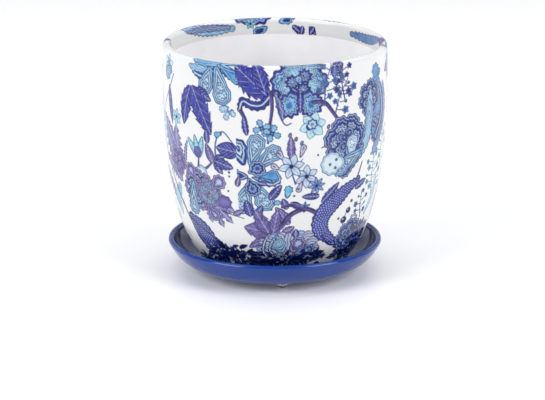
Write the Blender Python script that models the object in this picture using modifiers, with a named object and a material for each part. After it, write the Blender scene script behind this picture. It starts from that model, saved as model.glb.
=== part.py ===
"""A round glazed planter pot wrapped in a printed film, on a footed saucer.

Metres, +Z up. The origin is on the axis of the pot, on the surface that the
four bumpers stand on. The pot lifts straight up off the saucer.
"""

import math

import bpy
from mathutils import Vector

MM = 0.001

# Driving dimensions
SEGMENTS = 48
GAP = 0.3 * MM

BUMPER_RADIUS = 4.75 * MM
BUMPER_CONTACT_RADIUS = 2.2 * MM
BUMPER_HEIGHT = 3.6 * MM
BUMPER_CIRCLE_RADIUS = 49.5 * MM
BUMPER_TURN_DEG = 6.0
BUMPER_SEGMENTS = 24

SAUCER_UNDERSIDE = BUMPER_HEIGHT + GAP
SAUCER_TOP = 23.5 * MM
SAUCER_RADIUS = 76.6 * MM
SAUCER_RIM_WIDTH = 4.4 * MM
SAUCER_BASE_RADIUS = 54.0 * MM
SAUCER_FLARE_RADIUS = 69.5 * MM
SAUCER_FLARE_HEIGHT = 1.8 * MM
SAUCER_FLOOR = 4.2 * MM

POT_BASE = SAUCER_UNDERSIDE + SAUCER_FLOOR + GAP
POT_TOP = 166.0 * MM
POT_RADIUS = 79.4 * MM
POT_FOOT_RADIUS = 44.0 * MM
POT_BELLY_HEIGHT = 121.5 * MM
POT_MOUTH_TAPER = 0.65 * MM
POT_WALL = 4.4 * MM
POT_FLOOR = 7.0 * MM
POT_WELL_RADIUS = 41.0 * MM
DRAIN_HOLE_RADIUS = 6.0 * MM

FILM_THICKNESS = 0.3 * MM
FILM_DEPTH_INSIDE = 11.0 * MM
FILM_BARE_FOOT = 2.0 * MM


def reset_scene():
    for item in list(bpy.data.objects):
        bpy.data.objects.remove(item, do_unlink=True)


def make_material(name, color, roughness, transmission=0.0):
    material = bpy.data.materials.new(name)
    material.use_nodes = True
    shader = material.node_tree.nodes["Principled BSDF"]
    shader.inputs["Base Color"].default_value = (*color, 1.0)
    shader.inputs["Roughness"].default_value = roughness
    shader.inputs["Metallic"].default_value = 0.0
    shader.inputs["Transmission Weight"].default_value = transmission
    material.diffuse_color = (*color, 1.0)
    return material


def arc(center, radii, start_deg, end_deg, steps):
    """Points on an ellipse, from one angle to another, both ends included."""
    points = []
    for step in range(steps + 1):
        angle = math.radians(start_deg + (end_deg - start_deg) * step / steps)
        x = center[0] + radii[0] * math.cos(angle)
        z = center[1] + radii[1] * math.sin(angle)
        points.append(Vector((x, z)))
    return points


def sweep(start, pull, end, steps):
    """Points on a quadratic curve that leaves start and reaches end along lines to pull."""
    points = []
    for step in range(steps + 1):
        share = step / steps
        points.append(start.lerp(pull, share).lerp(pull.lerp(end, share), share))
    return points


def left_normal(start, end):
    along = (end - start).normalized()
    return Vector((-along.y, along.x))


def offset(points, distance):
    """An outline moved to its left by a distance, with mitred corners."""
    moved = []
    last = len(points) - 1
    for index, point in enumerate(points):
        before = left_normal(points[max(index - 1, 0)], points[max(index, 1)])
        after = left_normal(points[min(index, last - 1)], points[min(index + 1, last)])
        mitre = (before + after).normalized()
        moved.append(point + mitre * distance / mitre.dot(after))
    return moved


def turned(name, outline, material, collection, closed, segments=SEGMENTS):
    """A solid of revolution about Z from an outline of (radius, height) points."""
    mesh = bpy.data.meshes.new(name)
    vertices = [(point.x, 0.0, point.y) for point in outline]
    edges = [(index, index + 1) for index in range(len(outline) - 1)]
    if closed:
        edges.append((len(outline) - 1, 0))
    mesh.from_pydata(vertices, edges, [])
    item = bpy.data.objects.new(name, mesh)
    collection.objects.link(item)
    screw = item.modifiers.new("turn", "SCREW")
    screw.axis = "Z"
    screw.steps = segments
    screw.render_steps = segments
    screw.use_merge_vertices = True
    screw.merge_threshold = 0.00001
    screw.use_smooth_shade = True
    mesh.materials.append(material)
    return item


def belly_arc(foot_radius, bottom, steps, end_deg=-90.0, belly_radius=POT_RADIUS):
    """The wall's lower part, a quarter of an ellipse from the belly down to the foot."""
    belly = POT_BASE + POT_BELLY_HEIGHT
    center = (foot_radius, belly)
    radii = (belly_radius - foot_radius, belly - bottom)
    return arc(center, radii, 0.0, end_deg, steps)


def pot_skin():
    """The glazed surface under the film: inside the mouth, over the lip, down the outside."""
    mouth_radius = POT_RADIUS - POT_MOUTH_TAPER
    lip_radius = POT_WALL / 2
    lip_center = (mouth_radius - lip_radius, POT_TOP - lip_radius)
    inner_edge = Vector((mouth_radius - POT_WALL, POT_TOP - FILM_DEPTH_INSIDE))
    upper_wall = []
    belly = POT_BASE + POT_BELLY_HEIGHT
    rise = lip_center[1] - belly
    for share in (0.66, 0.33):
        radius = POT_RADIUS - POT_MOUTH_TAPER * share ** 2
        upper_wall.append(Vector((radius, belly + rise * share)))
    foot_angle = math.asin(1.0 - FILM_BARE_FOOT / POT_BELLY_HEIGHT)
    lower_wall = belly_arc(POT_FOOT_RADIUS, POT_BASE, 10, -math.degrees(foot_angle))
    lip = arc(lip_center, (lip_radius, lip_radius), 180.0, 0.0, 6)
    return [inner_edge, *lip, *upper_wall, *lower_wall]


def build_pot(collection):
    """The ceramic shell, open at the mouth and through the drain hole."""
    material = make_material("white_glaze", (0.86, 0.87, 0.89), 0.12)
    floor = POT_BASE + POT_FLOOR
    inner_radius = POT_RADIUS - POT_MOUTH_TAPER - POT_WALL
    foot = [
        Vector((POT_FOOT_RADIUS, POT_BASE)),
        Vector((DRAIN_HOLE_RADIUS, POT_BASE)),
        Vector((DRAIN_HOLE_RADIUS, floor)),
    ]
    inner_wall = belly_arc(POT_WELL_RADIUS, floor, 9, belly_radius=inner_radius)
    outline = [*pot_skin(), *foot, *reversed(inner_wall)]
    return turned("pot", outline, material, collection, closed=True)


def build_film(collection):
    """The printed film, a thin skin just clear of the glaze."""
    material = make_material("printed_film", (0.42, 0.48, 0.66), 0.18)
    inner_face = offset(pot_skin(), GAP)
    outer_face = offset(pot_skin(), GAP + FILM_THICKNESS)
    outline = [*outer_face, *reversed(inner_face)]
    return turned("printed_wrap", outline, material, collection, closed=True)


def build_saucer(collection):
    """A shallow dish with flared sides, a rounded rim and a flat well for the pot."""
    material = make_material("cobalt_glaze", (0.008, 0.03, 0.30), 0.08)
    rim_radius = SAUCER_RIM_WIDTH / 2
    rim_height = SAUCER_TOP - rim_radius
    rim = arc((SAUCER_RADIUS - rim_radius, rim_height), (rim_radius, rim_radius), 180.0, 0.0, 6)
    base_edge = Vector((SAUCER_BASE_RADIUS, SAUCER_UNDERSIDE))
    flare = Vector((SAUCER_FLARE_RADIUS, SAUCER_UNDERSIDE + SAUCER_FLARE_HEIGHT))
    rise = Vector((0.0, SAUCER_FLOOR))
    outer_side = sweep(rim[-1], flare, base_edge, 6)
    inner_side = sweep(base_edge + rise, flare + rise - Vector((SAUCER_FLOOR / 2, 0.0)), rim[0], 6)
    outline = [
        Vector((0.0, inner_side[0].y)),
        *inner_side[:-1],
        *rim,
        *outer_side[1:],
        Vector((0.0, SAUCER_UNDERSIDE)),
    ]
    return turned("saucer", outline, material, collection, closed=False)


def build_bumper(name, turn_deg, material, collection):
    """A clear stick-on foot: a flat top and a domed underside with a flat contact."""
    size = (BUMPER_RADIUS - BUMPER_CONTACT_RADIUS, BUMPER_HEIGHT)
    dome = arc((BUMPER_CONTACT_RADIUS, BUMPER_HEIGHT), size, 0.0, -90.0, 5)
    outline = [Vector((0.0, BUMPER_HEIGHT)), *dome, Vector((0.0, 0.0))]
    bumper = turned(name, outline, material, collection, False, BUMPER_SEGMENTS)
    turn = math.radians(turn_deg)
    bumper.location.x = BUMPER_CIRCLE_RADIUS * math.sin(turn)
    bumper.location.y = -BUMPER_CIRCLE_RADIUS * math.cos(turn)
    return bumper


def build():
    reset_scene()
    collection = bpy.data.collections.new("planter_pot")
    bpy.context.scene.collection.children.link(collection)

    pot_lift = bpy.data.objects.new("pot_lift", None)
    pot_lift.location.z = POT_BASE
    collection.objects.link(pot_lift)
    for item in (build_pot(collection), build_film(collection)):
        item.parent = pot_lift
        item.location.z = -POT_BASE

    build_saucer(collection)
    silicone = make_material("clear_silicone", (0.80, 0.83, 0.85), 0.15, transmission=0.9)
    for index, side in enumerate(("front", "right", "rear", "left")):
        turn_deg = BUMPER_TURN_DEG + 90.0 * index
        build_bumper(f"bumper_{side}", turn_deg, silicone, collection)


build()
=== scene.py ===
"""Looks for the planter pot: a turned pot in a printed film, on a cobalt saucer.

The print is drawn in ink amounts on the film's own surface, in millimetres, by
the functions in the "Print" section. Nodes turn the inks into colour.
"""

import math

import bmesh
import bpy
import numpy as np
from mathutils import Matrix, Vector


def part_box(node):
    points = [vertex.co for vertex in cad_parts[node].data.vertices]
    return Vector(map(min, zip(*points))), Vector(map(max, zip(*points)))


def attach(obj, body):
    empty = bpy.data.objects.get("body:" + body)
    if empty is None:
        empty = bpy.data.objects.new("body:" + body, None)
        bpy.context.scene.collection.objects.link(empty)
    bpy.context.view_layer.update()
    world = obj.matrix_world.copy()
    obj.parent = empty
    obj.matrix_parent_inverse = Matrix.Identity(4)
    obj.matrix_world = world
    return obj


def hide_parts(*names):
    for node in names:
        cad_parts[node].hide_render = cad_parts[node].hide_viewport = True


MM = 0.001

# The pot's outline, as the CAD model has it, in millimetres
POT_BASE = 8.4
POT_TOP = 166.0
POT_RADIUS = 79.4
POT_FOOT_RADIUS = 44.0
BELLY_HEIGHT = 121.5
MOUTH_TAPER = 0.65
POT_WALL = 4.4
POT_FLOOR = 7.0
POT_WELL_RADIUS = 41.0
DRAIN_HOLE_RADIUS = 6.0
FILM_GAP = 0.3
FILM_OUTSIDE = 0.6
FILM_DEPTH_INSIDE = 11.0
FILM_FADE = 3.0
WALL_UNDER_FILM = 4.0
SEAM_LAP = 0.16
CREASE_HEIGHT = 0.22
CREASE_WIDTH = 0.7
BARE_FOOT = 2.0

SAUCER_UNDERSIDE = 3.9
SAUCER_TOP = 23.5
SAUCER_RADIUS = 76.6
SAUCER_RIM_WIDTH = 4.4
SAUCER_BASE_RADIUS = 54.0
SAUCER_FLARE_RADIUS = 69.5
SAUCER_FLARE_HEIGHT = 1.8
SAUCER_FLOOR = 4.2

BUMPER_RADIUS = 4.75
BUMPER_CONTACT_RADIUS = 2.2
BUMPER_HEIGHT = 3.6
BUMPER_EDGE = 0.25

SEAM_DEG = -19.5
ROW_STEP = 0.5
FILM_COLUMNS = 1000

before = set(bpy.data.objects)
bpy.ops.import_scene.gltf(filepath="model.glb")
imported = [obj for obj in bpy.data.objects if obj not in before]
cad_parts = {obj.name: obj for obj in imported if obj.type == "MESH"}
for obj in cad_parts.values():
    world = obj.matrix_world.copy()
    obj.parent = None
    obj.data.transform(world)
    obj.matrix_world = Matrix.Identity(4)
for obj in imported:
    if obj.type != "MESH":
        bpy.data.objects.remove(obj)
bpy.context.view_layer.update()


# ------------ Turned shapes


def arc(center, radii, start_deg, end_deg, steps):
    angle = np.radians(np.linspace(start_deg, end_deg, steps + 1))
    x = center[0] + radii[0] * np.cos(angle)
    z = center[1] + radii[1] * np.sin(angle)
    return np.stack([x, z], axis=1)


def sweep(start, pull, end, steps):
    share = np.linspace(0.0, 1.0, steps + 1)[:, None]
    start, pull, end = map(np.array, (start, pull, end))
    return (1 - share) ** 2 * start + 2 * share * (1 - share) * pull + share**2 * end


def outward(outline):
    """Unit normals to the left of an outline's direction."""
    along = np.gradient(outline, axis=0)
    along /= np.linalg.norm(along, axis=1)[:, None]
    return np.stack([-along[:, 1], along[:, 0]], axis=1)


def respaced(outline, step):
    length = np.r_[0, np.cumsum(np.linalg.norm(np.diff(outline, axis=0), axis=1))]
    count = max(2, round(length[-1] / step))
    at = np.linspace(0, length[-1], count + 1)
    return np.stack([np.interp(at, length, outline[:, axis]) for axis in (0, 1)], axis=1)


def lathe(name, outline, columns, relief=None):
    """A turned mesh from (radius, height) points in mm; relief moves rows of it outward."""
    rows = len(outline)
    turn = np.linspace(-math.pi, math.pi, columns, endpoint=False)
    radius = np.repeat(outline[:, 0:1], columns, axis=1)
    height = np.repeat(outline[:, 1:2], columns, axis=1)
    if relief is not None:
        normal = outward(outline)
        radius = radius + relief * normal[:, 0:1]
        height = height + relief * normal[:, 1:2]
    points = np.stack([radius * np.sin(turn), -radius * np.cos(turn), height], axis=-1) * MM
    row, column = np.meshgrid(np.arange(rows - 1), np.arange(columns), indexing="ij")
    after = (column + 1) % columns
    corners = [row * columns + column, (row + 1) * columns + column]
    corners += [(row + 1) * columns + after, row * columns + after]
    quads = np.stack(corners, axis=-1).reshape(-1, 4)
    mesh = bpy.data.meshes.new(name)
    mesh.vertices.add(rows * columns)
    mesh.vertices.foreach_set("co", points.astype(np.float32).ravel())
    mesh.loops.add(quads.size)
    mesh.loops.foreach_set("vertex_index", quads.astype(np.int32).ravel())
    mesh.polygons.add(len(quads))
    mesh.polygons.foreach_set("loop_start", np.arange(0, quads.size, 4, dtype=np.int32))
    mesh.update(calc_edges=True)
    mesh.shade_smooth()
    item = bpy.data.objects.new(name, mesh)
    bpy.context.scene.collection.objects.link(item)
    return item


def weld(item):
    """Joins the points that meet on the axis or along a closed outline."""
    shape = bmesh.new()
    shape.from_mesh(item.data)
    bmesh.ops.remove_doubles(shape, verts=shape.verts, dist=0.000002)
    shape.to_mesh(item.data)
    shape.free()
    item.data.shade_smooth()


def pot_skin():
    """The glaze under the film: inside the mouth, over the lip and down the outside."""
    mouth = POT_RADIUS - MOUTH_TAPER
    lip = POT_WALL / 2
    lip_center = (mouth - lip, POT_TOP - lip)
    belly = POT_BASE + BELLY_HEIGHT
    inside = np.array([[mouth - POT_WALL, POT_TOP - FILM_DEPTH_INSIDE]])
    share = np.linspace(1.0, 0.0, 24)[1:-1]
    upper_radius = POT_RADIUS - MOUTH_TAPER * share**2
    upper = np.stack([upper_radius, belly + (lip_center[1] - belly) * share], axis=1)
    foot_deg = -math.degrees(math.asin(1 - BARE_FOOT / BELLY_HEIGHT))
    lower = arc(
        (POT_FOOT_RADIUS, belly),
        (POT_RADIUS - POT_FOOT_RADIUS, BELLY_HEIGHT),
        0.0,
        foot_deg,
        200,
    )
    return np.concatenate([inside, arc(lip_center, (lip, lip), 180.0, 0.0, 40), upper, lower])


# ------------ Print

INKS = ("navy", "indigo", "blue", "aqua", "violet")
SOFT_EDGE = 0.5
ALL_ROUND = (-360.0, 360.0)

# Petals are printed as rings: how many mm in from the edge each starts, and its inks
DARK_RINGS = (
    (0, {"navy": 0.9, "indigo": 1}),
    (0.7, {"navy": 0.1, "indigo": 1}),
    (1.9, {"aqua": 0.8, "blue": 0.1}),
    (2.9, {"navy": 0.75, "indigo": 1}),
    (3.7, {"aqua": 0.5}),
    (4.8, {"navy": 0.3, "indigo": 1}),
    (6.0, {"aqua": 1, "blue": 0.3}),
    (7.2, {"navy": 0.4, "indigo": 1}),
)
BROAD_RINGS = (
    (0, {"navy": 0.9, "indigo": 1}),
    (0.7, {"navy": 0.2, "indigo": 1}),
    (2.3, {"aqua": 0.8, "blue": 0.5}),
    (3.3, {"navy": 0.5, "indigo": 1}),
    (4.2, {"aqua": 0.9, "blue": 0.2}),
    (6.0, {"navy": 0.3, "blue": 1}),
)
DEEP_RINGS = (
    (0, {"navy": 0.8, "indigo": 1}),
    (0.7, {"aqua": 0.9, "blue": 0.25}),
    (1.4, {"navy": 0.4, "indigo": 1}),
    (2.6, {"navy": 0.9, "indigo": 1}),
    (3.1, {"aqua": 0.9, "blue": 0.4}),
    (3.9, {"indigo": 0.9, "blue": 0.3}),
)
LIGHT_RINGS = (
    (0, {"navy": 0.7, "blue": 1}),
    (0.7, {"aqua": 1, "blue": 0.1}),
    (1.6, {"navy": 0.7, "blue": 1}),
    (2.25, {"aqua": 0.45}),
    (3.0, {"navy": 0.75, "blue": 0.9}),
    (3.6, {"aqua": 0.8, "blue": 0.1}),
)
PALE_RINGS = (
    (0, {"navy": 0.6, "blue": 1}),
    (0.6, {"aqua": 0.65}),
    (1.5, {"navy": 0.2, "blue": 0.8}),
    (1.9, {"aqua": 0.3}),
)
BLUE_RINGS = (
    (0, {"navy": 0.8, "blue": 1}),
    (0.6, {"aqua": 1, "blue": 0.35}),
    (1.5, {"navy": 0.5, "blue": 1}),
    (2.2, {"aqua": 1, "blue": 0.6}),
)
VIOLET_RINGS = (
    (0, {"navy": 0.7, "violet": 1}),
    (0.65, {"violet": 1}),
    (2.6, {"violet": 0.7, "indigo": 0.5}),
)
PURPLE_RINGS = (
    (0, {"navy": 0.7, "violet": 1}),
    (0.65, {"violet": 0.55}),
    (1.4, {"navy": 0.3, "violet": 1}),
    (2.2, {"violet": 0.9}),
    (3.6, {"aqua": 0.6, "violet": 0.2}),
)


class Print:
    """Ink amounts over the film, one for each ink at each point of its mesh.

    A place is (degrees to the right of the front, mm down the film from the top
    of the lip). It is negative down inside the mouth.
    """

    def __init__(self, down, radius, columns):
        self.down = down
        self.radius = radius
        self.turn = np.linspace(-180.0, 180.0, columns, endpoint=False)
        self.inks = np.zeros((len(down), columns, len(INKS)))
        self.ahead = 0.0
        self.kept = ALL_ROUND
        self.where = None
        self.mask = None

    def open(self, place, reach, turn_deg=0.0):
        """Starts a motif: returns mm across and up from its place, turned by an angle."""
        degrees, down = place
        rows = np.flatnonzero(np.abs(self.down - down) <= reach)
        if not len(rows):
            rows = np.array([0])
        away = (self.turn - degrees - self.ahead + 180.0) % 360.0 - 180.0
        columns = np.flatnonzero(np.abs(np.radians(away)) * self.radius[rows].min() <= reach)
        away = away[columns]
        across = np.radians(away)[None, :] * self.radius[rows][:, None]
        up = np.repeat((down - self.down[rows])[:, None], len(columns), axis=1)
        seen = (degrees + away >= self.kept[0]) & (degrees + away <= self.kept[1])
        self.where = np.ix_(rows, columns)
        self.mask = seen[None, :].astype(float)
        angle = math.radians(turn_deg)
        x = across * math.cos(angle) + up * math.sin(angle)
        y = up * math.cos(angle) - across * math.sin(angle)
        return x, y

    def offset(self, place, other):
        """Another place, in mm across and up from this one."""
        radius = np.interp(other[1], self.down, self.radius)
        return math.radians(other[0] - place[0]) * radius, place[1] - other[1]

    def beside(self, place, across, up):
        """The place that is some mm across and up from this one."""
        radius = np.interp(place[1], self.down, self.radius)
        return place[0] + math.degrees(across / radius), place[1] - up

    def around(self, place):
        """The same as a function of mm across and up, for a motif of many parts."""
        return lambda across, up: self.beside(place, across, up)

    def lay(self, share, **amounts):
        """Prints a share of 0 to 1 over what is there. Amounts are numbers or arrays."""
        share = share * self.mask
        old = self.inks[self.where]
        for index, ink in enumerate(INKS):
            amount = amounts.get(ink, 0.0)
            old[..., index] = old[..., index] * (1 - share) + share * amount
        self.inks[self.where] = old


def film_lines():
    """Outlines from the film's inner end to its foot: its face, and the glaze side under it."""
    skin = respaced(pot_skin(), ROW_STEP)
    along = np.arange(len(skin)) * ROW_STEP
    from_end = np.minimum(along, along[-1] - along)
    grown = np.clip(0.15 + from_end / FILM_FADE, 0.0, 1.0)
    stand = FILM_GAP + (FILM_OUTSIDE - FILM_GAP) * grown
    return skin + outward(skin) * stand[:, None], skin + outward(skin) * FILM_GAP


def down_from_lip(outline):
    """Millimetres along an outline from its highest point."""
    lengths = np.r_[0, np.cumsum(np.linalg.norm(np.diff(outline, axis=0), axis=1))]
    return lengths - lengths[np.argmax(outline[:, 1])]


# Every motif below is printed on this one canvas
film_face, film_under = film_lines()
canvas = Print(down_from_lip(film_face), film_face[:, 0], FILM_COLUMNS)


def cover(depth):
    """How much of a spot is inside, from its depth in mm."""
    return np.clip(0.5 + depth / SOFT_EDGE, 0.0, 1.0)


def stroke(distance, width):
    return cover(width / 2 - np.abs(distance))


def repeat(value, pitch):
    """Distance to the middle of the nearest of a row of lines."""
    return (value / pitch - np.floor(value / pitch) - 0.5) * pitch


def dots(x, y, pitch, size):
    row = np.floor(y / pitch)
    shifted = x + 0.5 * pitch * (row % 2)
    return size / 2 - np.hypot(repeat(shifted, pitch), repeat(y, pitch))


def scribble(x, y):
    """Small curled marks, as the height of a wavy field."""
    return np.sin(2.3 * x + 1.6 * np.sin(1.5 * y)) * np.cos(2.0 * y + 1.3 * np.sin(1.2 * x))


def drop_depth(x, y, length, start, end):
    """Depth inside a drop along +x with one round end of each radius."""
    length = max(length, 1.05 * abs(start - end))
    slope = (start - end) / length
    level = math.sqrt(1 - slope**2)
    side = np.abs(y)
    turn = -slope * side + level * x
    shaft = level * side + slope * x - start
    depth = np.where(turn < 0, np.hypot(x, side) - start, shaft)
    return -np.where(turn > level * length, np.hypot(x - length, side) - end, depth)


def ribbon(points, width):
    """A curved strip through places. Returns share of its length, mm aside and its length."""
    place = points[len(points) // 2]
    knots = np.array([canvas.offset(place, point) for point in points])
    x, y = canvas.open(place, np.abs(knots).max() + width + 3.0)
    padded = np.concatenate([[2 * knots[0] - knots[1]], knots, [2 * knots[-1] - knots[-2]]])
    line = []
    for index in range(len(knots) - 1):
        before, start, end, after = padded[index : index + 4]
        t = np.linspace(0, 1, 12, endpoint=False)[:, None]
        square = 2 * before - 5 * start + 4 * end - after
        cube = 3 * start - before - 3 * end + after
        line.append(start + 0.5 * ((end - before) * t + square * t**2 + cube * t**3))
    line = np.concatenate(line + [knots[-1:]])
    spans = np.diff(line, axis=0)
    lengths = np.linalg.norm(spans, axis=1)
    best = np.full(x.shape, 1e9)
    along = np.zeros(x.shape)
    aside = np.zeros(x.shape)
    passed = 0.0
    for start, span, length in zip(line[:-1], spans, lengths):
        dx, dy = x - start[0], y - start[1]
        share = np.clip((dx * span[0] + dy * span[1]) / length**2, 0, 1)
        away = np.hypot(dx - share * span[0], dy - share * span[1])
        closer = away < best
        side = np.where(span[0] * dy - span[1] * dx < 0, -1.0, 1.0)
        best = np.where(closer, away, best)
        along = np.where(closer, passed + share * length, along)
        aside = np.where(closer, side * away, aside)
        passed += length
    return along / passed, aside, passed


def stem(points, width, ink="violet", taper=0.5):
    along, aside, _ = ribbon(points, width)
    half = width / 2 * (1 - taper * along)
    depth = half - np.abs(aside)
    canvas.lay(cover(depth), **{"navy": 0.45, ink: 1.0})
    canvas.lay(cover(depth) * cover(aside - half * 0.3), **{"navy": 0.8, ink: 1.0})


def leaf(place, turn, length, width, teeth, ink="indigo", bend=0.0, pale=0.35):
    """A toothed leaf from its stalk along +x, with a midrib and side veins."""
    x, y = canvas.open(place, length * 1.1 + width, turn)
    share = np.clip(x / length, 0, 1)
    y = y - bend * length * np.sin(math.pi * share)
    tooth = (share * teeth + np.abs(y) / width) % 1.0
    half = width / 2 * np.sin(math.pi * share**0.8) ** 0.7 * (1 - 0.26 * tooth * (teeth > 0))
    depth = np.where((x > 0) & (x < length), half - np.abs(y), -1.0)
    canvas.lay(cover(depth + 0.2), **{"navy": 0.75, ink: 1.0})
    canvas.lay(cover(depth - 0.55), **{"navy": 0.05, ink: 1.0})
    side_veins = repeat(x - np.abs(y) * 1.2, length / 5.5)
    canvas.lay(stroke(side_veins, 0.5) * cover(depth - 0.8) * 0.7, **{"aqua": 0.3, ink: pale})
    canvas.lay(stroke(side_veins + 0.7, 0.5) * cover(depth - 0.8) * 0.6, **{"navy": 0.8, ink: 1.0})
    canvas.lay(stroke(y, 0.55) * cover(depth - 0.4) * 0.8, **{"aqua": 0.3, ink: pale})


def lobed_leaf(place, turn, length, ink="indigo"):
    """A broad leaf of three toothed lobes."""
    leaf(place, turn + 42, length * 0.62, length * 0.42, 4, ink, 0.05)
    leaf(place, turn - 42, length * 0.72, length * 0.42, 4, ink, -0.05)
    leaf(place, turn, length, length * 0.58, 6, ink)


def petal(place, turn, length, width, rings, frill=0.3, lobes=7, flecks=0.0):
    """A rounded petal from its root along +x: rings, with flecks in its heart if asked."""
    x, y = canvas.open(place, length + 2.0, turn)
    end = width / 2
    start = 0.35 * end
    depth = drop_depth(x - start, y, length - start - end, start, end)
    around = np.arctan2(y, x - (length - end))
    depth = depth + frill * np.cos(lobes * around)
    for inset, amounts in rings:
        canvas.lay(cover(depth - inset), **amounts)
    if flecks:
        heart = cover(depth - rings[-1][0] - 0.2)
        canvas.lay(cover(0.5 * scribble(x, y) - 0.12) * heart * flecks, navy=0.6, blue=1.0)
        canvas.lay(cover(-0.5 * scribble(x, y) - 0.3) * heart * flecks, aqua=0.1)
    return x, y, depth


def petals(place, rows):
    """Petals round one place: mm across and up from it, then what petal() takes."""
    for across, up, *values in rows:
        petal(canvas.beside(place, across, up), *values)


def peony(place, size, turn, rings, most, frill=0.45, width=0.8):
    """A full flower head: rounds of frilled petals, the outer ones printed first."""
    outer, inner = rings
    for count, share, kind in ((most, 1.0, outer), (most - 1, 0.76, inner), (most - 3, 0.5, outer)):
        for index in range(count):
            toward = turn + 360.0 * (index + 0.5 * share) / count
            length = size * share
            x, y, depth = petal(place, toward, length, length * width, kind, frill, 9)
            rays = repeat(np.degrees(np.arctan2(y, x + 1.0)), 13.0) * np.hypot(x, y) * 0.017
            canvas.lay(stroke(rays, 0.35) * cover(depth - 1.2) * 0.55, navy=0.8, indigo=0.8)
    petal(place, turn + 90, size * 0.26, size * 0.24, inner, 0.2)


def plume(points, width, ground, line, frill=0.35, lines=1.7):
    """A feather-like petal with lines along its length."""
    along, aside, length = ribbon(points, width)
    half = width / 2 * np.sin(math.pi * np.clip(along * 0.88 + 0.1, 0, 1)) ** 0.55
    depth = half + frill * np.cos(along * length * 1.5) - np.abs(aside)
    canvas.lay(cover(depth), **{"navy": 0.6, line: 1.0})
    canvas.lay(cover(depth - 0.6), **ground)
    wave = aside + 0.35 * np.sin(along * length * 0.9)
    canvas.lay(stroke(repeat(wave, lines), 0.55) * cover(depth - 0.9), **{"navy": 0.35, line: 1.0})


def star(place, size, count, turn, ink="blue", amount=0.12, width=0.30):
    """A small open flower with pale, outlined, pointed petals and a dark eye."""
    for index in range(count):
        x, y = canvas.open(place, size * 1.1, turn + 360.0 * index / count)
        share = np.clip(x / size, 0, 1)
        half = size * width * np.sin(math.pi * share**0.9) ** 0.8
        depth = np.where((x > 0) & (x < size), half - np.abs(y), -1.0)
        canvas.lay(cover(depth), **{"navy": 0.75, ink: 1.0})
        near = np.clip(1.1 - share * 1.7, 0, 1)
        canvas.lay(cover(depth - 0.55), **{"aqua": 0.25, ink: amount + 0.45 * near})
        canvas.lay(stroke(y, 0.35) * cover(depth - 0.8) * 0.7, **{"navy": 0.3, ink: 0.9})
    x, y = canvas.open(place, size)
    canvas.lay(cover(size * 0.17 - np.hypot(x, y)), navy=0.9, indigo=1.0)


def berry(place, size, ink="blue"):
    x, y = canvas.open(place, size * 1.4)
    canvas.lay(cover(size / 2 - np.hypot(x, y)), **{"navy": 0.8, ink: 1.0})
    glint = size * 0.16 - np.hypot(x + size * 0.15, y - size * 0.15)
    canvas.lay(cover(glint) * 0.8, aqua=0.4)


def spray(start, turn, length, count, seed, size, ink="blue"):
    """A twig with small flowers and berries on either side."""
    dice = np.random.default_rng(seed)
    ahead = np.array([math.cos(math.radians(turn)), math.sin(math.radians(turn))])
    aside = np.array([-ahead[1], ahead[0]])

    def at(along, away):
        return canvas.beside(start, *(ahead * along + aside * away))

    stem([at(0, 0), at(length * 0.5, length * 0.06), at(length, 0)], 0.9, ink)
    for index in range(count):
        along = length * (0.15 + 0.85 * index / count)
        away = (1 if index % 2 else -1) * length * dice.uniform(0.08, 0.3)
        tip = at(along + length * 0.08, away)
        stem([at(along, 0), tip], 0.6, ink, 0.2)
        if index % 3 == 2:
            berry(tip, size * 0.8, ink)
        else:
            star(tip, size * dice.uniform(0.75, 1.1), 5, dice.uniform(0, 70), ink, 0.7, 0.34)


def bud(place, turn, size):
    """A tulip-like bud on its violet cup, opening along +x."""
    for lean in (26, -26, 0):
        leaf(place, turn + lean, size, size * 0.3, 0, "aqua", 0.0, 0.2)
    cup_rings = ((0.0, {"navy": 0.75, "violet": 1.0}), (0.5, {"violet": 1.0}))
    petal(place, turn, size * 0.5, size * 0.42, cup_rings, 0.1)


def scaled_leaf(points, width, frill=0.3):
    """A long curved leaf, widest in the middle, filled with rows of pale scales."""
    along, aside, length = ribbon(points, width)
    half = width / 2 * np.sin(math.pi * np.clip(along * 0.93 + 0.05, 0, 1)) ** 0.7
    depth = half + frill * np.cos(along * length * 1.7) - np.abs(aside)
    canvas.lay(cover(depth), navy=0.8, indigo=1.0)
    canvas.lay(cover(depth - 0.9), navy=0.1, indigo=1.0)
    scales = dots(along * length, aside + 0.5 * np.sin(along * length * 0.6), 1.9, 1.1)
    canvas.lay(cover(scales) * cover(depth - 1.2) * 0.85, aqua=0.6, indigo=0.35)


def curl(points, width, ink="indigo"):
    """A thick curled leaf: dark scalloped sides and a pale line along the middle."""
    along, aside, length = ribbon(points, width)
    half = width / 2 * np.sin(math.pi * np.clip(along * 0.85 + 0.13, 0, 1)) ** 0.5
    depth = half + 0.45 * np.cos(along * length * 1.9 + np.sign(aside)) - np.abs(aside)
    canvas.lay(cover(depth), **{"navy": 0.85, ink: 1.0})
    canvas.lay(cover(depth - 0.8), **{"navy": 0.35, ink: 1.0})
    canvas.lay(stroke(aside, 0.9) * cover(depth - 0.6), aqua=0.45)


def frond(points, width, ink, fringe=9):
    """A feathery leaf: a strip with a deeply cut edge and a fine midrib."""
    along, aside, _ = ribbon(points, width)
    cut = 0.5 + 0.5 * np.abs(np.sin(math.pi * (along * fringe + np.abs(aside) / width)))
    half = width / 2 * np.sin(math.pi * np.clip(along * 0.94 + 0.04, 0, 1)) ** 0.6 * cut
    depth = half - np.abs(aside)
    canvas.lay(cover(depth), **{"navy": 0.35, ink: 1.0})
    canvas.lay(cover(depth - 0.6), **{"blue": 0.15, ink: 0.8})
    canvas.lay(stroke(aside, 0.5) * cover(depth - 0.3) * 0.7, aqua=0.3)


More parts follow.
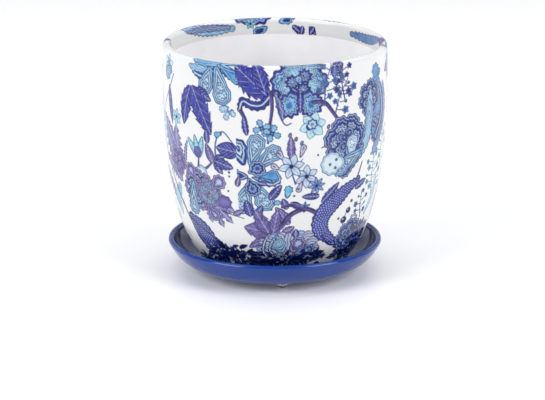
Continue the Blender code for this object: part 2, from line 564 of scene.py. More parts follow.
def thicket_and_painted_shade(place, width, height, seed):
    """A dark heap of small pointed leaves with pale flecks, wider than it is high. Its navy is print,
    and also painted shade where the pot's foot sits in the saucer.
    """
    dice = np.random.default_rng(seed)
    x, y = canvas.open(place, width / 2 + 2.0)
    across, up = x / (0.46 * width), y / (0.40 * height)
    ragged = 0.12 * np.sin(1.9 * x + 2.0 * np.sin(y)) + 0.08 * np.sin(4.1 * x)
    # Navy ground under the leaves: print, and painted shade at the pot's foot in the saucer.
    canvas.lay(cover((1.0 + ragged - np.hypot(across, up)) * 0.4 * height), navy=1.0)
    for _ in range(int(width * height * 0.085)):
        across = dice.uniform(-0.5, 0.5) * width
        up = dice.uniform(-0.5, 0.4) * height
        turn = math.degrees(math.atan2(0.5 + up, across)) + dice.uniform(-40, 40)
        size = dice.uniform(4.5, 8.0)
        spot = canvas.beside(place, across, up)
        shade_ink = "indigo" if dice.uniform() < 0.3 else "navy"
        leaf(spot, turn, size, size * 0.42, 0, shade_ink, dice.uniform(-0.1, 0.1), 0.7)
        x, y = canvas.open(canvas.beside(spot, 1.0, 1.0), size, turn)
        shade = cover(drop_depth(x, y, size * 0.5, size * 0.12, size * 0.08))
        canvas.lay(shade * 0.9, indigo=1.0, navy=1.0)
    for _ in range(int(width * height * 0.05)):
        across = dice.uniform(-0.45, 0.45) * width
        up = dice.uniform(-0.45, 0.35) * height
        x, y = canvas.open(canvas.beside(place, across, up), 3.0, dice.uniform(0, 180))
        canvas.lay(cover(drop_depth(x, y, 1.5, 0.36, 0.2)) * 0.85, aqua=dice.uniform(0.4, 1.0))


def hanging_flower(place):
    """Drops and wings of a pale flower that hangs from the lip."""
    at = canvas.around(place)
    plume([at(0, 0), at(-12, -5), at(-24, -2)], 10, {"aqua": 0.8}, "blue")
    plume([at(2, 3), at(-11, 2), at(-22, 3)], 6, {"aqua": 1.0, "blue": 0.2}, "blue")
    curl([at(-1, -2), at(-11, -8), at(-21, -6)], 5.5, "blue")
    curl([at(4, -2), at(13, -7), at(21, -12)], 5, "blue")
    rows = (
        (1, 3, -10, 19, 8, LIGHT_RINGS, 0.3, 5),
        (-5, 0, -108, 21, 12.5, LIGHT_RINGS, 0.25, 7, 1),
        (2, 1, -30, 19, 8.5, BLUE_RINGS, 0.3, 5),
        (-1, 1, -76, 28, 14.5, LIGHT_RINGS, 0.25, 7, 1),
    )
    petals(place, rows)


def winged_flower(place):
    """Wide drops round two dark hearts, like an orchid seen from the side."""
    at = canvas.around(place)
    rows = (
        (-1, 0, 74, 24, 13, LIGHT_RINGS, 0.3, 7, 1),
        (2, -3, 44, 25, 12, LIGHT_RINGS, 0.3, 7, 1),
        (2, -8, 4, 18, 9.5, BLUE_RINGS, 0.3, 7),
        (-3, -14, -104, 23, 14, LIGHT_RINGS, 0.3, 7, 1),
        (2, -13, -62, 22, 14.5, LIGHT_RINGS, 0.3, 7, 1),
        (-2, -8, 176, 14, 9, DEEP_RINGS),
        (-5, 0, 108, 20, 13, DARK_RINGS, 0.3, 7),
        (-2, -5, 28, 13, 11.5, DEEP_RINGS, 0.4, 8),
        (-2, -9, -72, 14, 11.5, DEEP_RINGS, 0.4, 8),
        (0, -8, -18, 15, 5.5, BLUE_RINGS, 0.2),
    )
    petals(place, rows)
    curl([at(6, -10), at(13, -13), at(19, -11), at(20, -7)], 3.6, "blue")


def feathered_flower(place):
    """A dark scalloped head with pale feathers to the right and a pale lobe below."""
    at = canvas.around(place)
    for rise, width in ((36, 11), (29, 10), (21, 9)):
        tip = at(20 + rise * 0.1, rise - 4)
        plume([at(6, -18), at(20, -4 + rise * 0.15), tip], width, {"aqua": 0.7}, "blue")
    peony(at(-1, 1), 19, 40, (DEEP_RINGS, DARK_RINGS), 7, 0.5, 0.9)
    rows = (
        (4, -12, 86, 16, 11, PALE_RINGS, 0.2, 7, 0.8),
        (17, -5, 222, 30, 12, DEEP_RINGS, 0.5, 9),
        (17, -8, 205, 31, 13.5, LIGHT_RINGS, 0.4, 9, 1),
        (-1, -15, 178, 20, 17, PALE_RINGS, 0.4, 9),
    )
    petals(place, rows)
    for across, up in ((-9, -12), (-14, -15), (-9.5, -18)):
        berry(at(across, up), 2.2)


def tiered_flower(place):
    """A violet head of many petals with a pale side and a fringe to the lower right."""
    at = canvas.around(place)
    for turn, length in ((-4, 22), (-22, 27), (-40, 29), (-58, 27), (-78, 21)):
        lean = math.radians(turn)
        tip = at(length * math.cos(lean), length * math.sin(lean))
        middle = at(length * 0.5 * math.cos(lean) + 1.5, length * 0.5 * math.sin(lean))
        frond([at(1, -2), middle, tip], 9, "violet", 6)
    petal(at(1, 7), 94, 15, 10, PALE_RINGS)
    peony(at(-4, 3), 16, 340, (PURPLE_RINGS, DARK_RINGS), 8)
    peony(at(5, 2), 11, 80, (PURPLE_RINGS, LIGHT_RINGS), 7)
    rows = (
        (-9, 9, 262, 27, 11, LIGHT_RINGS, 0.4, 9, 1),
        (8, 6, 42, 14, 11, PURPLE_RINGS, 0.4, 8),
        (10, -4, 8, 13, 10, VIOLET_RINGS, 0.4, 8),
        (-6, 9, 120, 14, 10, PURPLE_RINGS, 0.4, 8),
        (2, -7, 308, 14, 9, PURPLE_RINGS, 0.4, 8),
    )
    petals(place, rows)


def shell_flower(place):
    """A fan of violet and pale plumes on a dark thicket, which is print and painted shade near the
    foot.
    """
    at = canvas.around(place)
    thicket_and_painted_shade(at(0, -13), 44, 17, 11)
    fan = ((-2, 23), (182, 21), (20, 23), (160, 22), (42, 23), (138, 21), (64, 21), (112, 19), (88, 19))
    for turn, length in fan:
        ink = "blue" if turn in (182, 138, 64) else "violet"
        lean = math.radians(turn)
        middle = at(0.6 * length * math.cos(lean), 0.55 * length * math.sin(lean) - 3)
        tip = at(length * math.cos(lean), 0.68 * length * math.sin(lean) - 3)
        plume([at(0, -8), middle, tip], 11, {"aqua": 0.4, ink: 0.35}, ink, 0.6, 2.1)
    rows = (
        (2, -7, 58, 15, 11, PURPLE_RINGS, 0.5),
        (-3, -7, 118, 14, 10.5, LIGHT_RINGS, 0.5),
        (4, -8, 14, 16, 9, DEEP_RINGS, 0.5),
    )
    petals(place, rows)
    thicket_and_painted_shade(at(0, -14), 42, 12, 12)


def star_cluster(place):
    """Pale pointed flowers and buds round a tall violet leaf."""
    at = canvas.around(place)
    bud_rings = ((0, {"navy": 0.7, "indigo": 1.0}), (0.6, {"violet": 0.35}), (1.4, {"indigo": 0.8}))
    stem([at(2, -14), at(0, -4), at(7, 4)], 1, "blue")
    leaf(at(-1, 4), 92, 17, 6.5, 4, "violet")
    rows = (
        (5, 5, 72, 10, 4.6, bud_rings, 0.1),
        (-6, 3, 122, 9, 4.8, bud_rings, 0.1),
        (-9, -3, 150, 7, 4.6, bud_rings, 0.1),
    )
    petals(place, rows)
    star(at(10, -9), 9, 6, 30)
    star(at(-1, -1), 9.5, 6, 12)
    petal(at(7, -12), 250, 9, 4.4, bud_rings, 0.1)


def print_front(seam):
    """One repeat of the pattern, which the seam may cut off on either side of it."""
    left_of_seam = (-360, SEAM_DEG) if seam else ALL_ROUND
    right_of_seam = (SEAM_DEG, 360) if seam else ALL_ROUND

    # Left edge: a pale flower, thin feathered leaves and a hooked stem
    star((-68, 11), 8, 6, 20, "aqua", 0.4)
    petal((-68, 6), 265, 12, 6, LIGHT_RINGS)
    frond([(-80, 30), (-77, 52), (-74, 82)], 6, "aqua")
    leaf((-67, 25), -80, 28, 5.5, 0)
    stem([(-62, 16), (-66, 26), (-74, 44), (-73, 62)], 0.9)
    frond([(-74, 48), (-63, 64), (-57, 86)], 11, "violet", 10)
    frond([(-84, 84), (-74, 98), (-66, 118)], 9, "violet", 9)

    frond([(-56, 84), (-59, 68), (-60, 52)], 13, "violet", 7)
    frond([(-60, 84), (-67, 70), (-72, 54)], 14, "violet", 7)
    frond([(-58, 92), (-66, 84), (-75, 78)], 12, "violet", 7)
    peony((-60, 78), 11, 20, (PURPLE_RINGS, VIOLET_RINGS), 6)
    petal((-64, 12), 215, 14, 10, LIGHT_RINGS, 0.4, 7)
    star((-59, 46), 6.5, 6, 20, "aqua", 0.5)
    plume([(-62, 98), (-67, 108), (-66, 120)], 9, {"aqua": 0.6}, "aqua")

    hanging_flower((-30, 4))
    petal((-23, 31), 200, 8, 5, PALE_RINGS)
    petal((-23, 33), 245, 8, 4.5, PALE_RINGS)
    petal((-22, 32), 290, 6, 4, PALE_RINGS[:2])
    leaf((-45, 23), -18, 17, 11, 3, "indigo", 0.05)
    leaf((-47, 20), -104, 30, 13, 5, "indigo", -0.04)
    leaf((-46, 20), -62, 37, 17, 6)

    # Dark leaf and large flower at the middle of the lip
    stem([(6, 14), (1, 17), (-3, 20)], 4)
    leaf((-3.5, 22), 138, 31, 21, 6)
    leaf((-5, 18), 110, 22, 12, 4)
    peony((12.5, 13), 20.5, 24, (BROAD_RINGS, LIGHT_RINGS), 6, 0.7, 0.95)
    petal((10, 18), 248, 20, 17, BROAD_RINGS, 0.8, 11)
    petal((15, 18), 292, 20, 17, BROAD_RINGS, 0.8, 11)
    leaf((12.5, 20), 270, 14, 5, 3)

    # Stem, curled leaf and pale twig under them
    curl([(-2, 21), (-6.5, 28), (-11.5, 28.5), (-16, 26), (-18, 33)], 6.8)
    stem([(-2, 19), (-1.5, 30), (-2.5, 42), (-3.5, 55)], 2.8)
    stem([(0, 20), (2, 34), (5, 42), (8, 41)], 1.4, "blue")
    plume([(0.5, 21), (3, 30), (4, 39)], 4, {"indigo": 0.6}, "indigo")
    stem([(-17, 33), (-14.5, 40), (-14, 49)], 3)
    leaf((-14, 50), 100, 14, 5, 4)
    small_rings = LIGHT_RINGS[:2] + ((1.3, {"aqua": 0.7, "blue": 0.4}),)
    for place, turns in (((-6.5, 44.5), (20, 110, 200, 300)), ((-1.5, 48), (-20, 70, 250, 160))):
        for turn in turns:
            petal(place, turn, 6.5, 4.6, small_rings)

    # Right of the middle: branch, sprays and an open flower
    leaf((36, 1), 215, 12, 8, 3)
    leaf((31, 2), 268, 10, 7, 3)
    stem([(19, 27), (25, 28), (30, 36), (36, 48)], 3.2, taper=0.3)
    spray((25, 30), 78, 30, 9, 3, 3.2)
    spray((31, 38), 66, 27, 8, 5, 3.2)
    spray((37, 28), 95, 24, 7, 8, 2.8, "indigo")
    star((19, 43.5), 10, 6, 15, "aqua", 0.45, 0.36)
    eye_rings = ((0, {"navy": 0.7, "blue": 1.0}), (1.3, {"aqua": 0.3}), (2.3, {"blue": 0.9}))
    petal((15.5, 46), 38, 9.5, 7.5, eye_rings, 0.5)
    for degrees, down in ((7, 51), (10, 54), (27, 47), (13, 57)):
        leaf((degrees, down), 70, 3.6, 2, 0)

    # Right: two tall heads with long feathers, and a feathered flower
    plume([(62, 70), (70, 46), (70, 24)], 13, {"aqua": 1.0, "blue": 0.5}, "indigo")
    plume([(58, 52), (65, 36), (61, 15)], 13, {"aqua": 1.0, "blue": 0.4}, "blue")
    peony((63, 54), 11, 30, (DEEP_RINGS, LIGHT_RINGS), 6)
    petal((67, 14), 200, 13, 9, BLUE_RINGS, 0.4, 7)
    petal((60, 22), 80, 14, 10, BLUE_RINGS, 0.4, 7)
    curl([(62, 62), (69, 44), (66, 24)], 6.5)
    peony((55.5, 31), 13.5, 10, (DEEP_RINGS, DARK_RINGS), 7)
    petal((56, 42), 290, 17, 9, BLUE_RINGS, 0.4, 7)
    leaf((55, 48), -30, 13, 5, 4)
    feathered_flower((39, 58))

    # Left middle: arching stem, round leaf and buds, up to the seam
    canvas.kept = left_of_seam
    stem([(-31, 76), (-31, 58), (-27, 49), (-21, 57)], 1.3, "blue")
    petal((-27, 50), 200, 7, 4.4, LIGHT_RINGS[:2])
    leaf((-18.5, 63), 172, 17, 12, 0)
    lobed_leaf((-32, 71), -14, 15)
    canvas.kept = ALL_ROUND
    stem([(-50, 80), (-42, 80), (-37, 77), (-32, 70)], 2.6)
    stem([(-43, 80), (-42, 70)], 2)
    bud((-42, 71), 102, 17)
    leaf((-33, 73), 112, 15, 6.5, 0, "violet")
    leaf((-36, 59), 95, 10, 5, 0)
    frond([(-53, 80), (-52, 68), (-50, 60)], 4, "indigo", 8)
    tiered_flower((-41, 98))

    # Right of the seam: a winged flower cut off along it
    canvas.kept = right_of_seam
    winged_flower((-12, 72))
    leaf((-13, 110), 105, 13, 8, 4)
    leaf((-10, 109), 60, 9, 5, 0)
    canvas.kept = ALL_ROUND
    star_cluster((9, 71))

    # Middle: scattered leaves and small flowers
    star((22, 87.5), 6.8, 8, 8, "blue", 0.5, 0.2)
    star((16, 103), 4.6, 6, 25, "blue", 0.5, 0.2)
    petal((6, 96), 78, 10, 6, LIGHT_RINGS[:2])
    petal((-1, 100), 20, 5.5, 4, LIGHT_RINGS[:2])
    leaf((24, 95.5), 178, 13, 5, 0)
    leaf((25.5, 101), 46, 19, 6.8, 5)
    leaf((-3, 96.5), 52, 14, 6, 0)
    leaf((6.5, 104), 112, 9, 5, 0)
    leaf((13.5, 103), 150, 8, 5, 0)
    leaf((-9, 84), -10, 7, 3.6, 0)
    leaf((8, 116), 126, 17, 9, 4, "violet")
    violet_dots = ((-25, 92, 1.5), (-24, 78, 1.8), (-24, 81, 1.5), (-1, 84, 1.6), (22, 65, 1.5))
    blue_dots = ((12, 89, 1.6), (10, 94, 1.6), (29, 60, 1.8), (1.5, 62, 1.5), (-2, 104, 1.6))
    for ink, places in (("violet", violet_dots), ("blue", blue_dots)):
        for degrees, down, size in places:
            berry((degrees, down), size, ink)
    leaf((-20, 88), 75, 8, 4, 0, "violet")
    leaf((-23, 110), 30, 9, 4.5, 4, "violet")
    stem([(-30, 108), (-24, 110), (-17, 112)], 0.9)
    stem([(24, 60), (28, 58), (33, 55)], 0.8)
    stem([(27, 59), (29, 62)], 0.7)

    # Lower middle: forked branch and broad leaves over a shell-like flower
    stem([(-5, 124), (3, 118), (8, 109), (16, 104.5), (23, 109), (26, 117)], 4, taper=0.2)
    stem([(16, 105), (9, 101), (4, 102)], 3.2, taper=0.3)
    leaf((3, 124), 168, 26, 17, 5, "violet")
    leaf((-3, 124), 118, 22, 11, 5, "violet")
    leaf((-1, 123), 80, 19, 9, 4, "violet")
    leaf((-5, 127), 215, 15, 7, 4, "violet")
    leaf((4, 123), 30, 10, 6, 4, "violet")
    shell_flower((8, 133))
    curl([(-3, 124), (-6, 130), (-7, 139), (-3, 146)], 2.6, "violet")
    curl([(1, 125), (-2, 131), (-3, 138), (1, 143)], 2.4, "blue")
    leaf((12, 127), 92, 7, 5, 0)

    # Lower left: scaled leaf, long curved stems, dark heap that is print and painted shade near the
    # foot
    scaled_leaf([(-55, 118), (-46, 131), (-40, 147)], 19)
    thicket_and_painted_shade((-31, 144), 34, 17, 21)
    thicket_and_painted_shade((-52, 154), 20, 7, 22)
    stem([(-70, 88), (-62, 108), (-56, 124), (-44, 142), (-38, 150)], 1.4, "navy", 0)
    stem([(-57, 120), (-40, 131), (-26, 147)], 1.6, "navy", 0)

    # Lower right: long scaled leaf, berries and a dark flower heap, print and painted shade near the
    # foot
    stem([(44, 95), (48, 87), (51, 76)], 1.8)
    scaled_leaf([(49, 88), (38, 97), (27, 111), (28, 125), (41, 136)], 14, 0.4)
    stem([(28, 128), (36, 137), (50, 137)], 1.6, "indigo", 0)
    leaf((47, 95), 22, 13, 6, 4)
    stem([(44, 128), (42, 118), (45, 108)], 0.9)
    for degrees, down, size in ((42, 118, 5.5), (44.5, 111, 4.5), (38, 116, 2), (46, 104, 2.4)):
        berry((degrees, down), size, "indigo")
    curl([(46, 126), (49, 117), (53, 118), (52, 124)], 2, "violet")
    spray((57, 120), 100, 22, 7, 35, 2.6)
    thicket_and_painted_shade((54, 145), 28, 16, 41)
    peony((50, 132), 13.5, 30, (DEEP_RINGS, DARK_RINGS), 8)
    thicket_and_painted_shade((61, 136), 20, 20, 45)
    thicket_and_painted_shade((53, 148), 26, 10, 46)
    star((32, 146), 3.6, 5, 0, "navy", 0.6)
    spray((66, 108), 98, 36, 12, 51, 2.6, "aqua")
    spray((73, 88), 92, 34, 10, 55, 2.6, "aqua")
    plume([(62, 118), (68, 104), (68, 90)], 5, {"aqua": 0.4}, "aqua")


def print_sides():
    """What fills the pot's right and left sides, between the two repeats."""
    peony((91, 66), 16, 60, (DARK_RINGS, DEEP_RINGS), 7)
    leaf((96, 84), -64, 26, 12, 5)
    leaf((87, 84), 232, 18, 9, 4, "violet")
    spray((88, 50), 86, 34, 10, 61, 3)
    stem([(91, 82), (92, 104), (86, 124)], 2.6)
    lobed_leaf((90, 108), -20, 22, "violet")
    star((82, 106), 8, 6, 20)
    winged_flower((262, 56))
    stem([(262, 78), (259, 96), (264, 120)], 2.8)
    lobed_leaf((261, 98), 205, 24)
    star((268, 101), 8.5, 6, 0)
    spray((270, 34), 80, 22, 8, 71, 3, "indigo")
    frond([(104, 116), (108, 96), (104, 76)], 9, "violet", 10)
    plume([(80, 132), (77, 118), (80, 100)], 9, {"aqua": 0.7}, "blue")
    hanging_flower((96, 6))
    leaf((80, 24), 70, 22, 11, 4)
    leaf((84, 12), 200, 16, 9, 3, "violet")
    peony((96, 134), 13, 10, (DEEP_RINGS, PURPLE_RINGS), 7)
    leaf((104, 126), 60, 16, 8, 4)
    peony((276, 126), 13, 40, (PURPLE_RINGS, DARK_RINGS), 7)
    plume([(256, 28), (252, 16), (258, 4)], 11, {"aqua": 0.8}, "blue")
    leaf((272, 14), 120, 20, 10, 5)
    # Dark heaps round the foot: print, and painted shade where the saucer shades the pot.
    for degrees in (84, 100, 256, 274):
        thicket_and_painted_shade((degrees, 148), 26, 12, degrees)


def print_mouth():
    """The print that turns over the lip and ends inside the mouth."""
    plume([(-155, -8), (-138, -7), (-118, -1)], 8.5, {"aqua": 0.8}, "blue", 0.4, 2.2)
    plume([(-153, -7), (-137, -5.5), (-121, -5)], 5, {"aqua": 0.3, "blue": 0.6}, "indigo")
    star((-166, -5.5), 4.4, 6, 0, "aqua", 0.6)
    petal((-176, -8), 30, 12, 8, LIGHT_RINGS[:3])
    petal((178, -5), 200, 11, 7.5, LIGHT_RINGS[:3])
    for degrees, turn in ((167, 100), (164, 80), (160, 130), (157, 60), (170, 140)):
        leaf((degrees, -7), turn, 8, 4.5, 3)
    plume([(131, -8), (114, -8), (96, -3)], 7, {"aqua": 1.0, "blue": 0.7}, "indigo")
    leaf((98, -1), 172, 22, 6, 4)
    petal((84, -3), 200, 9, 6, PURPLE_RINGS[:2])
    leaf((-92, -4), 20, 10, 5, 0, "violet")
    peony((12.5, -8), 7, 0, (DARK_RINGS, DEEP_RINGS), 6)
    star((-34, -6), 6, 6, 10, "aqua", 0.5)
    leaf((48, -4), 160, 12, 5, 4)
    star((-62, -5), 5, 5, 0, "blue", 0.4)


def print_all():
    """The back's repeat first, so that the sides and the front print over its edges."""
    canvas.ahead = 180.0
    print_front(False)
    canvas.ahead = 0.0
    print_sides()
    print_front(True)
    print_mouth()


# ------------ Materials


class Look:
    """A material: its shader and the nodes that feed it."""

    def __init__(self, name):
        self.material = bpy.data.materials.new(name)
        self.material.use_nodes = True
        self.nodes = self.material.node_tree.nodes
        self.link = self.material.node_tree.links.new
        self.shader = self.nodes["Principled BSDF"]

    def set(self, values):
        for socket, value in values.items():
            self.shader.inputs[socket].default_value = value

    def feed(self, output, socket):
        self.link(output, self.shader.inputs[socket])

    def attribute(self, name):
        node = self.nodes.new("ShaderNodeAttribute")
        node.attribute_name = name
        return node.outputs

    def noise(self, scale, detail=3.0, roughness=0.5):
        """Cloudy values that stay with the piece as it moves."""
        place = self.nodes.new("ShaderNodeTexCoord")
        node = self.nodes.new("ShaderNodeTexNoise")
        node.inputs["Scale"].default_value = scale
        node.inputs["Detail"].default_value = detail
        node.inputs["Roughness"].default_value = roughness
        self.link(place.outputs["Object"], node.inputs["Vector"])
        return node.outputs["Fac"]

    def remap(self, value, low, high, to_low=0.0, to_high=1.0, smooth=False):
        node = self.nodes.new("ShaderNodeMapRange")
        if smooth:
            node.interpolation_type = "SMOOTHSTEP"
        for socket, number in zip(node.inputs[1:5], (low, high, to_low, to_high)):
            socket.default_value = number
        self.link(value, node.inputs[0])
        return node.outputs[0]

    def tint(self, amount, below, above):
        """Mixes two colours, each a fixed (red, green, blue) or another node's output."""
        node = self.nodes.new("ShaderNodeMix")
        node.data_type = "RGBA"
        self.link(amount, node.inputs[0])
        for socket, color in ((node.inputs[6], below), (node.inputs[7], above)):
            if isinstance(color, tuple):
                socket.default_value = (*color, 1.0)
            else:
                self.link(color, socket)
        return node.outputs[2]

    def bump(self, height, distance, strength):
        node = self.nodes.new("ShaderNodeBump")
        node.inputs["Distance"].default_value = distance
        node.inputs["Strength"].default_value = strength
        self.link(height, node.inputs["Height"])
        self.feed(node.outputs[0], "Normal")


def film_material():
    """Five inks over white film, each a little uneven, under a glossy varnish."""
    look = Look("printed_film")
    inks = look.attribute("inks")
    split = look.nodes.new("ShaderNodeSeparateColor")
    look.link(inks["Color"], split.inputs[0])
    blot = look.remap(look.noise(240.0, 4.0, 0.6), 0.35, 0.65)
    paper = look.remap(look.noise(14.0, 2.0), 0.3, 0.7)
    color = look.tint(paper, (0.70, 0.70, 0.70), (0.67, 0.675, 0.68))
    # For each ink: how much of it there is, and its colours where it lies thick and thin
    layers = (
        (split.outputs["Blue"], (0.09, 0.36, 0.55), (0.24, 0.58, 0.72)),
        (look.attribute("violet")["Fac"], (0.07, 0.05, 0.23), (0.15, 0.12, 0.36)),
        (split.outputs["Green"], (0.014, 0.085, 0.36), (0.05, 0.20, 0.50)),
        (split.outputs["Red"], (0.012, 0.018, 0.19), (0.045, 0.055, 0.34)),
        (inks["Alpha"], (0.001, 0.003, 0.04), (0.006, 0.012, 0.09)),
    )
    for amount, thick, thin in layers:
        color = look.tint(look.remap(amount, 0.02, 0.92), color, look.tint(blot, thick, thin))
    look.feed(color, "Base Color")
    look.feed(look.remap(look.noise(45.0), 0.3, 0.7, 0.10, 0.20), "Roughness")
    look.set({"Specular IOR Level": 0.3, "Coat Weight": 0.12, "Coat Roughness": 0.04})
    look.bump(look.noise(160.0, 2.0), 0.00006, 0.6)
    return look.material


def glaze_material(name, thick, thin, rough, ior):
    """A glossy glaze, lighter where it runs thin on sharp edges, with a faint orange peel."""
    look = Look(name)
    darker = tuple(0.88 * part for part in thick)
    speck_color = tuple(0.6 * part for part in thick)
    sharpness = look.nodes.new("ShaderNodeNewGeometry").outputs["Pointiness"]
    pool = look.remap(look.noise(22.0, 4.0, 0.55), 0.3, 0.7)
    edge = look.remap(sharpness, 0.52, 0.6, smooth=True)
    color = look.tint(edge, look.tint(pool, thick, darker), thin)
    speck = look.remap(look.noise(700.0, 1.0), 0.72, 0.78, 0.0, 0.25)
    look.feed(look.tint(speck, color, speck_color), "Base Color")
    look.feed(look.remap(look.noise(60.0), 0.3, 0.7, rough, rough + 0.05), "Roughness")
    look.set({"IOR": ior})
    look.bump(look.noise(90.0, 2.0), 0.00008, 0.4)
    return look.material


def silicone_material():
    """Clear silicone, faintly cloudy with dust in it."""
    look = Look("clear_silicone")
    haze = look.noise(900.0, 2.0)
    look.feed(look.remap(look.noise(600.0), 0.35, 0.7, 0.12, 0.32), "Roughness")
    look.feed(look.tint(haze, (0.96, 0.97, 0.98), (0.86, 0.88, 0.90)), "Base Color")
    look.set({"Transmission Weight": 0.85, "IOR": 1.41})
    look.bump(haze, 0.00005, 0.4)
    return look.material


def floor_material():
    """White, half matt, and giving off a little light to lighten the shadow on it."""
    look = Look("white_floor")
    look.set({"Base Color": (0.93, 0.93, 0.935, 1.0), "Roughness": 0.32})
    look.set({"Emission Color": (1.0, 1.0, 1.0, 1.0), "Emission Strength": 0.06})
    return look.material


# ------------ Pieces


def make_film():
    """The printed film: its face, thinner near both ends, and its edges turned in to the glaze."""
    face, under = film_face, film_under
    print_all()
    relief = film_relief()
    top_edge = [under[0], face[0], 0.9 * face[0] + 0.1 * face[1]]
    bottom_edge = [0.9 * face[-1] + 0.1 * face[-2], face[-1], under[-1]]
    outline = np.concatenate([top_edge, face[1:-1], bottom_edge])
    flat = np.zeros((3, FILM_COLUMNS))
    relief = np.concatenate([flat, relief[1:-1], flat])
    film = lathe("printed_wrap_film", outline, FILM_COLUMNS, relief)
    inks = canvas.inks[np.r_[0, 0, np.arange(len(face)), len(face) - 1, len(face) - 1]]
    order = [INKS.index(ink) for ink in ("indigo", "blue", "aqua", "navy")]
    attribute = film.data.attributes.new("inks", "FLOAT_COLOR", "POINT")
    attribute.data.foreach_set("color", inks[..., order].astype(np.float32).ravel())
    attribute = film.data.attributes.new("violet", "FLOAT", "POINT")
    attribute.data.foreach_set("value", inks[..., INKS.index("violet")].astype(np.float32).ravel())
    film.data.materials.append(film_material())
    return film


def film_relief():
    """Millimetres that the film stands proud: its overlap at the seam and two long creases."""
    relief = np.zeros(canvas.inks.shape[:2])
    past_seam = canvas.turn - SEAM_DEG
    relief += SEAM_LAP * np.clip(past_seam / 0.35, 0, 1) * np.clip((9 - past_seam) / 9, 0, 1)
    for points in ([(-60, 96), (-57, 118), (-48, 138)], [(-63, 100), (-60, 122), (-53, 140)]):
        along, aside, _ = ribbon(points, 2.0)
        ridge = np.exp(-((aside / CREASE_WIDTH) ** 2)) * np.sin(math.pi * along)
        relief[canvas.where] += CREASE_HEIGHT * ridge
    return relief


def make_pot():
    """The ceramic shell: lip, outside, foot, drain hole, inside floor and wall.

    Below the lip the glaze inside is flush with the film, and runs a little way
    up under the film's end so that no dark line shows there.
    """
    floor = POT_BASE + POT_FLOOR
    belly = POT_BASE + BELLY_HEIGHT
    inner_radius = POT_RADIUS - MOUTH_TAPER - POT_WALL - FILM_GAP
    inner_size = (inner_radius - POT_WELL_RADIUS, belly - floor)
    inside = arc((POT_WELL_RADIUS, belly), inner_size, -90.0, 0.0, 60)
    hole_top = arc((DRAIN_HOLE_RADIUS + 1.0, floor - 1.0), (1.0, 1.0), 180.0, 90.0, 5)
    foot = np.array([[POT_FOOT_RADIUS, POT_BASE], [DRAIN_HOLE_RADIUS, POT_BASE]])
    under_film = np.array([[inner_radius, POT_TOP - FILM_DEPTH_INSIDE + WALL_UNDER_FILM]])
    skin = pot_skin()[1:]
    outline = np.concatenate([skin, foot, hole_top, inside, under_film, skin[:1]])
    pot = lathe("pot_shell", respaced(outline, 1.2), 256)
    weld(pot)
    glaze = glaze_material("white_glaze", (0.87, 0.865, 0.88), (0.89, 0.885, 0.90), 0.10, 1.45)
    pot.data.materials.append(glaze)
    return pot


def make_saucer():
    """The dish: well, inner side, rounded rim, flared outer side and underside."""
    rim_radius = SAUCER_RIM_WIDTH / 2
    rim_height = SAUCER_TOP - rim_radius
    rim = arc((SAUCER_RADIUS - rim_radius, rim_height), (rim_radius, rim_radius), 180.0, 0.0, 24)
    base_edge = np.array([SAUCER_BASE_RADIUS, SAUCER_UNDERSIDE])
    flare = np.array([SAUCER_FLARE_RADIUS, SAUCER_UNDERSIDE + SAUCER_FLARE_HEIGHT])
    rise = np.array([0.0, SAUCER_FLOOR])
    outer_side = sweep(rim[-1], flare, base_edge, 30)
    inner_side = sweep(base_edge + rise, flare + rise - [SAUCER_FLOOR / 2, 0], rim[0], 30)
    axis = np.array([[0.0, inner_side[0, 1]]])
    under = np.array([[0.0, SAUCER_UNDERSIDE]])
    outline = np.concatenate([axis, inner_side, rim, outer_side, under])
    saucer = lathe("saucer_dish", respaced(outline, 0.8), 320)
    weld(saucer)
    glaze = glaze_material("cobalt_glaze", (0.001, 0.036, 0.24), (0.003, 0.06, 0.34), 0.06, 1.48)
    saucer.data.materials.append(glaze)
    return saucer


def make_bumper(node, material):
    """A domed clear foot, centred on its CAD node."""
    low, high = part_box(node)
    widest = BUMPER_HEIGHT - BUMPER_EDGE
    size = (BUMPER_RADIUS - BUMPER_CONTACT_RADIUS, widest)
    top = arc((BUMPER_RADIUS - BUMPER_EDGE, widest), (BUMPER_EDGE, BUMPER_EDGE), 90.0, 0.0, 4)
    dome = arc((BUMPER_CONTACT_RADIUS, widest), size, 0.0, -90.0, 18)
    outline = np.concatenate([[[0.0, BUMPER_HEIGHT]], top, dome[1:], [[0.0, 0.0]]])
    bumper = lathe(node + "_dome", outline, 48)
    weld(bumper)
    bumper.location = ((low[0] + high[0]) / 2, (low[1] + high[1]) / 2, low[2])
    bumper.data.materials.append(material)
    return bumper


# ------------ Scene


def make_floor():
    """A round white sweep: flat round the pot, and rising far outside the picture."""
    flat, bend, top = 3200.0, 600.0, 2200.0
    curve = arc((flat, bend), (bend, bend), -90.0, 0.0, 16)
    outline = np.concatenate([[[0.0, 0.0]], curve, [[flat + bend, top]]])
    floor = lathe("floor", outline, 96)
    weld(floor)
    floor.data.materials.append(floor_material())


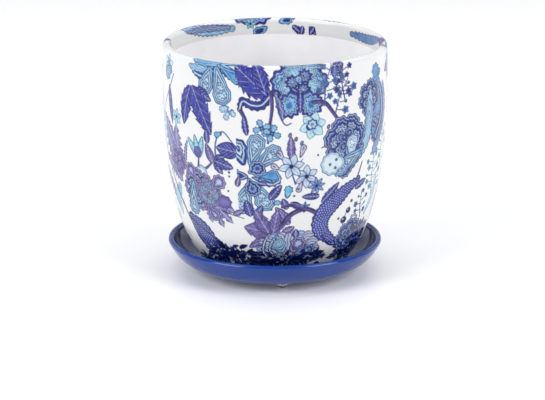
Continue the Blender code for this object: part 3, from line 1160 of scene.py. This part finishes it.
def area_light(name, location, size, power):
    """A rectangular light turned to the middle of the pot."""
    middle = Vector((0.0, 0.0, 0.08))
    data = bpy.data.lights.new(name, "AREA")
    data.shape = "RECTANGLE"
    data.size, data.size_y = size
    data.energy = power
    light = bpy.data.objects.new(name, data)
    light.location = location
    light.rotation_euler = (middle - Vector(location)).to_track_quat("-Z", "Y").to_euler()
    bpy.context.scene.collection.objects.link(light)


def light_scene():
    """Soft light from above and both sides in front, and a little from behind."""
    world = bpy.data.worlds.new("studio")
    bpy.context.scene.world = world
    world.use_nodes = True
    background = world.node_tree.nodes["Background"]
    background.inputs["Color"].default_value = (0.97, 0.98, 1.0, 1.0)
    background.inputs["Strength"].default_value = 0.18
    area_light("overhead", (0.0, 0.5, 1.9), (2.4, 2.4), 28.5)
    area_light("softbox_left", (-1.4, -0.95, 1.1), (1.1, 1.1), 24.5)
    area_light("softbox_right", (1.4, -0.95, 1.1), (1.1, 1.1), 23.0)
    area_light("strip_left", (-1.0, 0.8, 0.4), (0.7, 1.0), 1.0)
    area_light("strip_right", (1.0, 0.8, 0.4), (0.7, 1.0), 1.0)


def make_camera():
    """A long lens about 2 m away, looking down by 16 degrees."""
    look_down = 0.282
    data = bpy.data.cameras.new("camera")
    data.sensor_width = 36.0
    data.lens = 182.0
    data.clip_start = 0.05
    camera = bpy.data.objects.new("camera", data)
    camera.location = (-0.0017, -1.9, 0.6)
    camera.rotation_euler = (math.pi / 2 - look_down, 0.0, 0.0)
    bpy.context.scene.collection.objects.link(camera)
    bpy.context.scene.camera = camera


def assemble():
    """Makes every piece, on its body, in place of its CAD node and with its material slot."""
    film = make_film()
    pot = make_pot()
    saucer = make_saucer()
    for piece, node, body, slot in (
        (film, "printed_wrap", "pot_body", "printed_film"),
        (pot, "pot", "pot_body", "white_glaze"),
        (saucer, "saucer", "saucer_base", "cobalt_glaze"),
    ):
        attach(piece, body)
        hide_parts(node)
    silicone = silicone_material()
    for side in ("front", "right", "rear", "left"):
        node = "bumper_" + side
        bumper = make_bumper(node, silicone)
        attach(bumper, "saucer_base")
        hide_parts(node)


make_floor()
light_scene()
make_camera()
assemble()
bpy.context.scene.view_settings.view_transform = "Standard"
